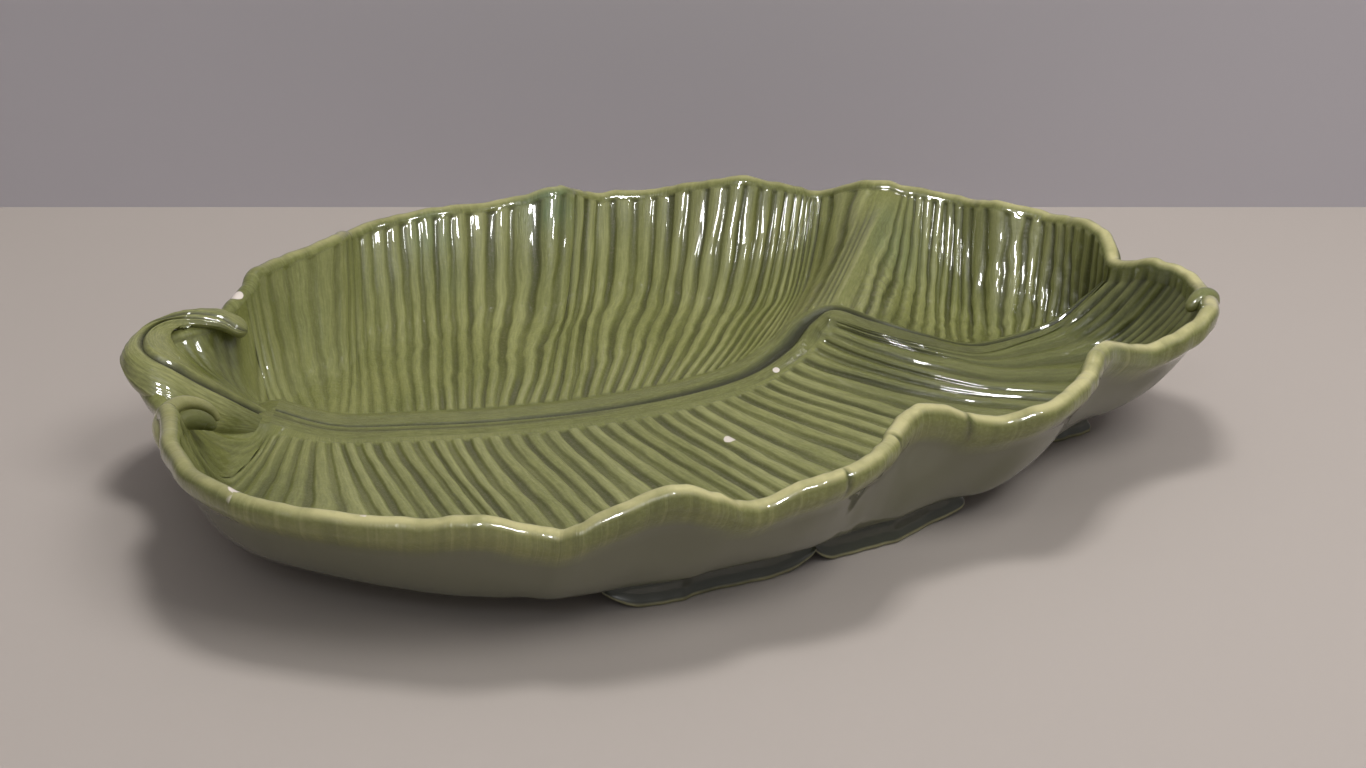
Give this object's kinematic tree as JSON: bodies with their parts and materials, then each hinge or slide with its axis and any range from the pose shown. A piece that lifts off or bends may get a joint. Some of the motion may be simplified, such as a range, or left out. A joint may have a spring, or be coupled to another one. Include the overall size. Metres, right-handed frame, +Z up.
{
  "type": "leaf dish",
  "caption": "Divided leaf shaped serving dish with a scalloped rim, ribbed floor, raised midrib and low foot lobes.",
  "frame": {"origin": "centre of the dish's bounding box on the surface that it stands on", "axes": "+X from the stalk to the far end of the leaf, +Y towards the back rim, +Z up"},
  "size_m": [0.4107, 0.3021, 0.0624],
  "materials": {
    "leaf_glaze": "gloss",
    "rib_glaze": "gloss",
    "foot_glaze": "gloss"
  },
  "bodies": {
    "root": {"back_leaf": "leaf_glaze", "front_leaf": "leaf_glaze", "side_leaf": "leaf_glaze", "divider": "leaf_glaze", "midrib": "rib_glaze", "fold_rib": "rib_glaze", "side_midrib": "rib_glaze", "stalk": "rib_glaze", "stalk_curl": "rib_glaze", "foot_front": "foot_glaze", "foot_side": "foot_glaze", "foot_tip": "foot_glaze", "foot_bowl": "foot_glaze", "foot_back": "foot_glaze", "foot_stalk": "foot_glaze"}
  },
  "joints": []
}
